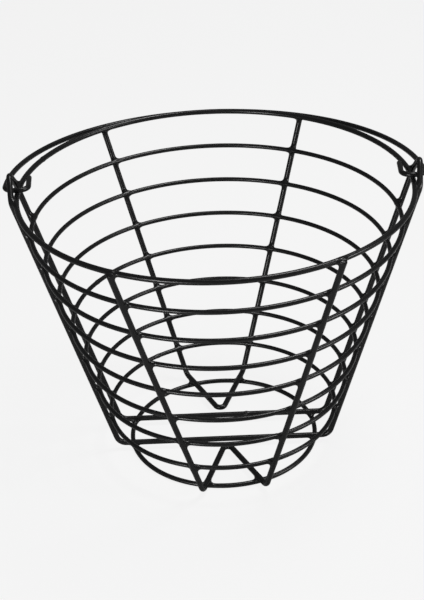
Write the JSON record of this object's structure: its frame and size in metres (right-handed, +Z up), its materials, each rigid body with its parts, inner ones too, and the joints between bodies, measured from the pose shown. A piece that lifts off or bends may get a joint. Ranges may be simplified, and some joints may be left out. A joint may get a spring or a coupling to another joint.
{
  "type": "egg collection basket",
  "caption": "Tapered round welded-wire basket for gathering eggs, with a foot ring, wire ears and a bail handle that swings over the rim.",
  "frame": {"origin": "centre of the circle that the foot ring stands on", "axes": "+Z up, ears and the handle's pivots along X, front at -Y, handle lying back towards +Y"},
  "size_m": [0.355, 0.3527, 0.2684],
  "materials": {
    "coated_wire": "black dip coating over steel wire, semi-gloss",
    "coated_handle_wire": "black dip coating over steel wire, semi-gloss"
  },
  "bodies": {
    "basket": {"rim_ring": "coated_wire", "hoop_1": "coated_wire", "hoop_2": "coated_wire", "hoop_3": "coated_wire", "hoop_4": "coated_wire", "hoop_5": "coated_wire", "hoop_6": "coated_wire", "hoop_7": "coated_wire", "foot_ring": "coated_wire", "front_stay_wire": "coated_wire", "back_stay_wire": "coated_wire", "left_ear_wire": "coated_wire", "right_ear_wire": "coated_wire"},
    "handle": {"handle": "coated_handle_wire"}
  },
  "joints": [
    {"name": "handle_swing", "type": "hinge", "parent": "basket", "child": "handle", "pos_m": [0, -0.003, 0.2543], "axis": [1, 0, 0], "range_deg": [0, 185]}
  ]
}
